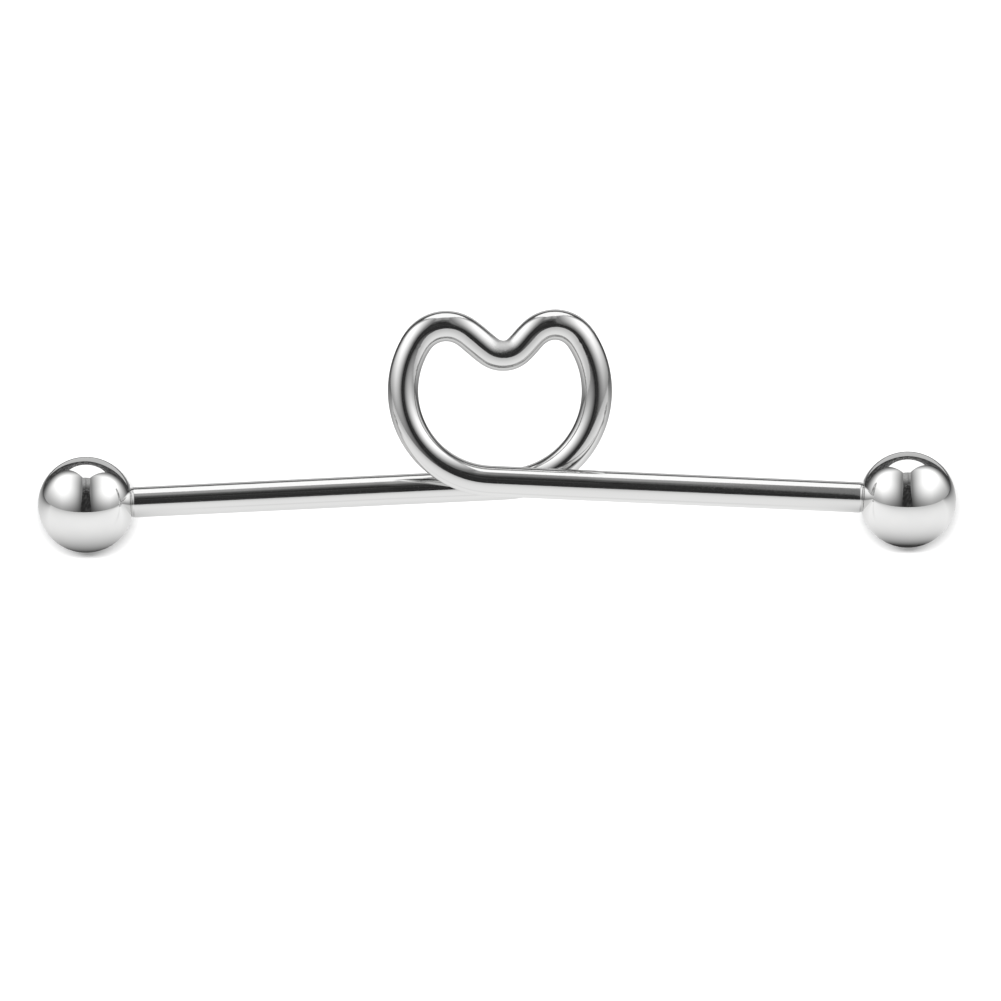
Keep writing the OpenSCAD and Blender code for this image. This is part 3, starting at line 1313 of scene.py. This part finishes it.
@dataclass(frozen=True)
class Tent:
    """The diffuser tent, in mm and degrees: two side walls that meet a roof.

    Attributes:
        slit_x: Edges of the slit for the lens, at the table.
        slit_near: How far the slit stands towards the camera.
        waist: How much narrower the slit is, to each side, half way up.
        wall_x: How far the walls stand out at the back.
        wall_back: Where they end at the table.
        corners_back: Corners of the roof at the back, the left one first.
        roof_in: How far the roof stops short of each corner, as a share of its length.
        bulge: How far the roof reaches past the line between them, as a share of its length.
        tip: Middle of the roof's front edge, over the slit.
        tip_half: Half the length of that edge.
        seam: Width of the dark seam between a wall and the roof.
        wall_light: Brightness of a wall at its hottest.
        slit_shade: Share of that which it loses at the slit.
        slit_reach: Angle from the slit over which it gets it back.
        slit_power: How suddenly it does so.
        back_shade: Share that it loses at the back.
        back_fall: Azimuths between which it does so.
        foot_share: Share that it has at its foot.
        foot_rise: Elevations between which it gets the rest.
        roof_light: Brightness of the roof.
    """

    slit_x: Pair = (-103.0, 91.0)
    slit_near: float = 470.0
    waist: float = 30.0
    wall_x: float = 343.0
    wall_back: float = -343.0
    corners_back: tuple[Triple, Triple] = ((-341.0, 509.0, -393.0), (360.0, 509.0, -388.0))
    roof_in: float = 0.08
    bulge: float = 0.178
    tip: Triple = (-3.0, 595.0, 36.0)
    tip_half: float = 74.0
    seam: float = 6.7
    wall_light: float = 2.2
    slit_shade: float = 0.88
    slit_reach: float = 48.0
    slit_power: float = 1.25
    back_shade: float = 0.95
    back_fall: Pair = (107.0, 142.0)
    foot_share: float = 0.19
    foot_rise: Pair = (-5.6, 52.8)
    roof_light: float = 1.5

    def corners(self, side: Side) -> list[Array]:
        """Corners of a side wall.

        Args:
            side: Which wall.

        Returns:
            The corners at the slit, at the back, at the roof's corner and at its tip.
        """
        sign, right = side.sign, side is Side.RIGHT
        out = np.array([sign * self.seam, 0.0, 0.0])
        return [
            np.array([self.slit_x[right], TABLE_LEVEL, self.slit_near]),
            np.array([sign * self.wall_x, TABLE_LEVEL, self.wall_back]),
            np.array(self.corners_back[right]) + out,
            np.array(self.tip) + out + (sign * self.tip_half, 0.0, self.seam),
        ]

    def wall(self, side: Side, rows: int = 49, columns: int = 97) -> Array:
        """Grid of points over a side wall, whose front edge leans in half way up.

        Args:
            side: Which wall.
            rows: Points up the wall.
            columns: Points along it.

        Returns:
            The grid, as rows by columns by 3.
        """
        front_low, back_low, back_high, front_high = self.corners(side)
        up = np.linspace(0, 1, rows)[:, None, None]
        along = np.linspace(0, 1, columns)[None, :, None]
        grid = between(between(front_low, back_low, along), between(front_high, back_high, along), up)
        lean = (4 * up * (1 - up)) ** 2 * np.maximum(0, 1 - 3 * along)
        grid[..., 0] -= side.sign * self.waist * lean[..., 0]
        return grid

    def wall_glow(self, side: Side, points: Array) -> Array:
        """Brightness of a side wall, which is hottest beside the barbell.

        Args:
            side: Which wall.
            points: Points of the wall.

        Returns:
            The brightness of each.
        """
        azimuth, elevation = angles_of(points)
        slit, _, _, tip = self.corners(side)
        outward = unit(np.cross(slit, tip))
        outward *= side.sign * np.sign(outward[0])
        reach = np.linalg.norm(points, axis=1)
        from_slit = np.degrees(np.arcsin(np.clip(points @ outward / reach, -1, 1)))
        shaded = (1 - np.clip(from_slit / self.slit_reach, 0, 1)) ** self.slit_power
        front = 1 - self.slit_shade * shaded
        back = 1 - self.back_shade * smoothstep(*self.back_fall, np.abs(azimuth))
        foot = self.foot_share + (1 - self.foot_share) * smoothstep(*self.foot_rise, elevation)
        return self.wall_light * front * back * foot

    def roof(self, rows: int = 13, columns: int = 25) -> Array:
        """Grid of points over the roof, from its tip to its bulged back edge.

        Args:
            rows: Points from the front to the back.
            columns: Points across it.

        Returns:
            The grid, as rows by columns by 3.
        """
        share = np.linspace(0, 1, columns)[None, :, None]
        tip, half = np.array(self.tip), np.array([self.tip_half, 0.0, 0.0])
        left, right = (between(np.array(corner), tip, self.roof_in)
                       for corner in self.corners_back)
        bowed = 1 + self.bulge * 4 * share * (1 - share)
        reach = np.linspace(0, 1, rows)[:, None, None] * bowed
        return between(between(tip - half, tip + half, share), between(left, right, share), reach)

    def roof_glow(self, points: Array) -> Array:
        """Brightness of the roof, the same all over."""
        return np.full(len(points), self.roof_light)


@dataclass(frozen=True)
class Stand:
    """The dark stand of the camera, just outside the slit, in mm.

    Attributes:
        x: Where its middle stands.
        near: How far it stands towards the camera.
        heights: Heights at which its width is given, from the table up.
        halves: Half its width at each.
        black: Brightness of its black paint.
        glint: Brightness that its strongest glints add anywhere.
        top_glint: Brightness that they add at its top.
        top_rise: Heights between which they gain that.
        seed: Seed of its glints.
    """

    x: float = 2.0
    near: float = 482.0
    heights: tuple[float, ...] = (TABLE_LEVEL, 480.0, 600.0, 700.0, 735.0)
    halves: tuple[float, ...] = (140.0, 125.0, 110.0, 102.0, 88.0)
    black: float = 0.026
    glint: float = 0.05
    top_glint: float = 0.3
    top_rise: Pair = (430.0, 735.0)
    seed: int = 5

    def grid(self, rows: int = 19, columns: int = 9) -> Array:
        """Grid of points over the stand, which narrows to its top.

        Args:
            rows: Points up the stand.
            columns: Points across it.

        Returns:
            The grid, as rows by columns by 3.
        """
        up = np.linspace(self.heights[0], self.heights[-1], rows)[:, None]
        across = self.x + np.interp(up, self.heights, self.halves) * np.linspace(-1, 1, columns)
        return np.stack([across, up + 0 * across, np.full_like(across, self.near)], axis=2)

    def glow(self, points: Array) -> Array:
        """Brightness of the stand: nearly black, with a few glints towards its top.

        Args:
            points: Points of the stand.

        Returns:
            The brightness of each.
        """
        glints = np.random.default_rng(self.seed).random(len(points))
        top = smoothstep(*self.top_rise, points[:, 1])
        return self.black + self.glint * glints ** 3 + self.top_glint * top * glints ** 2


@dataclass(frozen=True)
class Room:
    """The dark room round the tent, in mm and degrees, a little lighter high up.

    Attributes:
        radius: Radius of the sphere that stands for it.
        front_light: Brightness low down on the camera's side.
        front_high: Brightness that it gains high up there.
        front_rise: Elevations between which it gains it.
        front_clutter: Least of that which its clutter leaves, and how much more it may leave.
        gap_azimuth: Middle of the darker gap on that side.
        gap_half: Half width of the gap.
        gap_shade: Share of the light that is missing in it.
        back_light: Brightness low down behind.
        back_high: Brightness that it gains high up there.
        back_rise: Elevations between which it gains it.
        back_clutter: Least that the clutter behind leaves, and how much more it may leave.
        seed: Seed of its clutter.
    """

    radius: float = 3000.0
    front_light: float = 0.1
    front_high: float = 0.38
    front_rise: Pair = (54.0, 74.0)
    front_clutter: Pair = (0.75, 0.5)
    gap_azimuth: float = 3.0
    gap_half: float = 5.0
    gap_shade: float = 0.35
    back_light: float = 0.09
    back_high: float = 0.13
    back_rise: Pair = (34.0, 47.0)
    back_clutter: Pair = (0.4, 1.5)
    seed: int = 7

    def grid(self, rows: int = 91, columns: int = 181) -> Array:
        """Grid of points over the sphere.

        Args:
            rows: Points from its lowest to its highest point.
            columns: Points round it.

        Returns:
            The grid, as rows by columns by 3.
        """
        turns = np.radians(np.linspace(0, 360, columns))[None, :]
        tilts = np.radians(np.linspace(-90, 90, rows))[:, None]
        return self.radius * np.stack([
            np.sin(turns) * np.cos(tilts), np.sin(tilts) + 0 * turns, np.cos(turns) * np.cos(tilts),
        ], axis=2)

    def glow(self, points: Array) -> Array:
        """Brightness of the room, which its clutter makes uneven.

        Args:
            points: Points of the room.

        Returns:
            The brightness of each.
        """
        azimuth, elevation = angles_of(points)
        clutter = np.random.default_rng(self.seed).random(len(points))
        least, more = self.front_clutter
        high = self.front_high * smoothstep(*self.front_rise, elevation)
        gap = np.exp(-((azimuth - self.gap_azimuth) / self.gap_half) ** 2)
        front = (self.front_light + high * (least + more * clutter)) * (1 - self.gap_shade * gap)
        least, more = self.back_clutter
        high = self.back_high * smoothstep(*self.back_rise, elevation)
        back = (self.back_light + high) * (least + more * clutter ** 2)
        return np.where(np.abs(azimuth) < 90, front, back)


@dataclass(frozen=True)
class Table:
    """The white table as the steel mirrors it, in mm.

    Attributes:
        spots: Where the balls stand, in the studio's axes.
        ball_r: Radius of the balls.
        reach: How far it reaches each way.
        drop: How far it lies below the balls, so that they don't cut it.
        light: Brightness in the open.
        ball_shade: Share of the light that is missing right under a ball.
        ball_spread: How far a ball's full shade spreads.
        ball_power: How fast it fades outside that.
        far_shade: Share of the light that is missing far away.
        far_reach: Distance at which half of that is missing.
        bar_shade: Share of the light that is missing in the bar's own line of shade.
        bar_near: How far towards the camera that line lies.
        bar_half: Half width of the line.
        bar_ends: How far before each ball's centre it starts to fade, and is gone.
        back_reach: Distance behind the balls at which half of the light is gone.
    """

    spots: list[Array]
    ball_r: float
    reach: float = 2900.0
    drop: float = 0.02
    light: float = 1.17
    ball_shade: float = 0.959
    ball_spread: float = 1.347
    ball_power: float = 2.101
    far_shade: float = 0.361
    far_reach: float = 19.0
    bar_shade: float = 0.13
    bar_near: float = 1.7
    bar_half: float = 0.35
    bar_ends: Pair = (9.0, 3.0)
    back_reach: float = 13.8

    def spaced(self, fine_to: float, fine: int, coarse_from: float, coarse: int) -> Array:
        """Places along one edge of the table, fine near the balls and coarse far away.

        Args:
            fine_to: Half the length of the fine part.
            fine: Points in the fine part.
            coarse_from: Where the coarse parts start.
            coarse: Points in each of those.

        Returns:
            The places in order.
        """
        far = np.geomspace(coarse_from, self.reach, coarse)
        return np.concatenate([-far[::-1], np.linspace(-fine_to, fine_to, fine), far])

    def grid(self) -> Array:
        """Grid of points over the table, as rows by columns by 3."""
        x, near = np.meshgrid(self.spaced(34, 273, 35, 18), self.spaced(11.5, 93, 12, 24))
        return np.stack([x, np.full_like(x, -self.ball_r - self.drop), near], axis=2)

    def glow(self, points: Array) -> Array:
        """Brightness of the table, shaded under the balls and the bar and far away.

        Args:
            points: Points of the table.

        Returns:
            The brightness of each.
        """
        x, _, near = points.T
        glow = np.full(len(points), self.light)
        for spot in self.spots:
            spread = 1 + ((x - spot[0]) ** 2 + (near - spot[2]) ** 2) / self.ball_r ** 2
            glow *= 1 - self.ball_shade * np.minimum(1, self.ball_spread * spread ** -self.ball_power)
        half_gap = float(np.linalg.norm(self.spots[1] - self.spots[0])) / 2
        away = np.maximum(np.abs(x) - half_gap, 0) ** 2 + near ** 2
        glow *= 1 - self.far_shade * away / (away + self.far_reach ** 2)
        beside = 1 - smoothstep(*(half_gap - end for end in self.bar_ends), np.abs(x))
        line = np.exp(-((near - self.bar_near) / self.bar_half) ** 2)
        glow *= 1 - self.bar_shade * beside * line
        return glow / (1 + np.maximum(-near, 0) / self.back_reach)


@dataclass(frozen=True)
class Sweep:
    """The white sweep behind the table, with rounded corners, in mm.

    Attributes:
        dist: How far behind the balls it hangs.
        x: Where its middle hangs.
        half: Half its width and half its height.
        corner: Power that rounds its corners, from 2 for an ellipse up.
        light: Its brightness.
    """

    dist: float = 1200.0
    x: float = 70.0
    half: Pair = (643.0, 768.0)
    corner: float = 2.6
    light: float = 0.646

    def grid(self, rows: int = 9, columns: int = 145) -> Array:
        """Grid of points over the sweep.

        Args:
            rows: Points from its middle to its edge.
            columns: Points round it.

        Returns:
            The grid, as rows by columns by 3.
        """
        spokes = np.radians(np.linspace(0, 360, columns))[None, :]
        radii = np.linspace(0, 1, rows)[:, None]
        x, up = (half * radii * np.sign(wave) * np.abs(wave) ** (2 / self.corner)
                 for half, wave in zip(self.half, (np.cos(spokes), np.sin(spokes))))
        return np.stack([self.x + x, up, np.full_like(x, -self.dist)], axis=2)

    def glow(self, points: Array) -> Array:
        """Brightness of the sweep, the same all over."""
        return np.full(len(points), self.light)


@dataclass(frozen=True)
class SoftKey:
    """The light that throws the balls' contact shadows.

    It is long across and narrow, so that each shadow spreads sideways, as the photo's do.

    Attributes:
        place: Where it hangs, in metres; it looks at the middle of the floor.
        size: Its length across and its width, in metres.
        watts: Its power.
    """

    place: Triple = (0.0, 0.18, 0.616)
    size: Pair = (0.34, 0.05)
    watts: float = 4.8

    def build(self, blockers: list[Object]) -> Object:
        """Hangs the light.

        Args:
            blockers: The only pieces that block it.

        Returns:
            The light.
        """
        data = bpy.data.lights.new("soft_key", "AREA")
        data.shape = "RECTANGLE"
        data.size, data.size_y = self.size
        data.energy = self.watts
        made = bpy.data.objects.new("soft_key", data)
        made.location = self.place
        made.rotation_mode = "QUATERNION"
        made.rotation_quaternion = (-made.location).to_track_quat("-Z", "Y")
        made.visible_glossy = made.visible_camera = False
        collection = bpy.data.collections.new("key_blockers")
        for blocker in blockers:
            collection.objects.link(blocker)
        made.light_linking.blocker_collection = collection
        bpy.context.scene.collection.objects.link(made)
        return made


@dataclass
class Studio:
    """What surrounds the barbell: the floor, the lights and the cards that it mirrors.

    The cards are seen in reflections alone, so they stay out of every view and cast no
    shadow. Their places are in mm in the studio's own axes, from the middle of the two
    balls: right, up from the table, and towards the camera.

    Attributes:
        centres: Centres of the two balls at rest, in the row frame and in mm.
        ball_r: Their radius, in mm.
        balls: The balls, which alone block the key light, because the photo's wire stands
            clear of the table.
        camera: What takes the picture.
        tent: The tent of diffuser cloth.
        stand: The camera's stand.
        room: The room round the tent.
        sweep: The sweep behind the table.
        key: The key light.
        fill: Brightness of the white room that lights the floor, but isn't mirrored.
        floor_half: Half the length of the floor's sides, in metres.
    """

    centres: list[Array]
    ball_r: float
    balls: list[Object]
    camera: Camera = Camera()
    tent: Tent = Tent()
    stand: Stand = Stand()
    room: Room = Room()
    sweep: Sweep = Sweep()
    key: SoftKey = SoftKey()
    fill: float = 0.42
    floor_half: float = 6.0

    @property
    def middle(self) -> Array:
        """Middle of the two balls, in the row frame."""
        return sum(self.centres) / 2

    @property
    def axes(self) -> Array:
        """The studio's own axes in the row frame, one a row."""
        return self.camera.studio_axes(self.centres[1] - self.centres[0])

    def card(self, name: str, grid: Array, glow: Callable[[Array], Array],
             material: Material) -> Object:
        """Makes one card from a grid of points.

        Args:
            name: Its name.
            grid: Its points in the studio's axes, in mm, as rows by columns by 3.
            glow: Brightness of points in the studio's axes.
            material: The cards' material.

        Returns:
            The card.
        """
        rows, columns = grid.shape[:2]
        points = grid.reshape(-1, 3)
        corners = np.array([0, 1, columns + 1, columns])
        faces = [(corners + i * columns + j).tolist()
                 for i in range(rows - 1) for j in range(columns - 1)]
        made = mesh_object(name, (self.middle + points @ self.axes) * MM, faces, material)
        add_values(made, "glow", glow(points))
        made.visible_camera = made.visible_diffuse = made.visible_shadow = False
        made.visible_transmission = made.visible_volume_scatter = False
        return made

    def build_cards(self) -> list[Object]:
        """Makes everything that the steel mirrors.

        Returns:
            The cards.
        """
        table = Table([self.axes @ (centre - self.middle) for centre in self.centres], self.ball_r)
        plans = [
            ("dark_stand", self.stand.grid(), self.stand.glow),
            ("wall_left", self.tent.wall(Side.LEFT), partial(self.tent.wall_glow, Side.LEFT)),
            ("wall_right", self.tent.wall(Side.RIGHT), partial(self.tent.wall_glow, Side.RIGHT)),
            ("roof", self.tent.roof(), self.tent.roof_glow),
            ("dark_room", self.room.grid(), self.room.glow),
            ("table_in_mirror", table.grid(), table.glow),
            ("sweep_behind", self.sweep.grid(), self.sweep.glow),
        ]
        material = LitClothAndPaintedLight().build()
        return [self.card(name, grid, glow, material) for name, grid, glow in plans]

    def build_floor(self) -> Object:
        """Lays the white paper that the barbell lies on.

        Returns:
            The floor.
        """
        corners = self.floor_half * np.array([(-1, -1, 0), (1, -1, 0), (1, 1, 0), (-1, 1, 0)])
        made = mesh_object("paper_floor", corners, [(0, 1, 2, 3)], MattPaper().build(), False)
        made.visible_glossy = False
        return made

    def build_world(self) -> bpy.types.World:
        """Lights the paper past white with the key, so that only the contact shadows show.

        Returns:
            The world.
        """
        world = bpy.data.worlds.new("white_room")
        world.use_nodes = True
        tree = world.node_tree
        tree.nodes.clear()
        sky = add_node(tree, "ShaderNodeBackground",
                       {"Color": linear("FFFFFF"), "Strength": self.fill})
        add_node(tree, "ShaderNodeOutputWorld", {}, {"Surface": sky.outputs["Background"]})
        world.cycles_visibility.glossy = False
        bpy.context.scene.world = world
        return world

    def build(self) -> list[Object]:
        """Makes the whole studio.

        Returns:
            The cards.
        """
        self.camera.build()
        self.build_floor()
        cards = self.build_cards()
        self.build_world()
        self.key.build(self.balls)
        view = bpy.context.scene.view_settings
        view.view_transform, view.look = "Standard", "None"
        return cards


def main() -> None:
    """Builds the barbell and its studio."""
    logging.basicConfig(level=logging.INFO, format="%(name)s: %(message)s")
    wire = HeartWire()
    rest = Rest.of(wire)
    bar = WireBar(wire, rest).build()
    balls = [ScrewBall(wire, rest, side).build() for side in Side]
    for made in (bar, *balls):
        log.info("%s: %d faces", made.name, len(made.data.polygons))
    centres = [rest.point(wire.ball_centre(side)) for side in Side]
    cards = Studio(centres, wire.ball.radius, balls).build()
    log.info("studio: %d cards", len(cards))


if __name__ == "__main__":
    main()
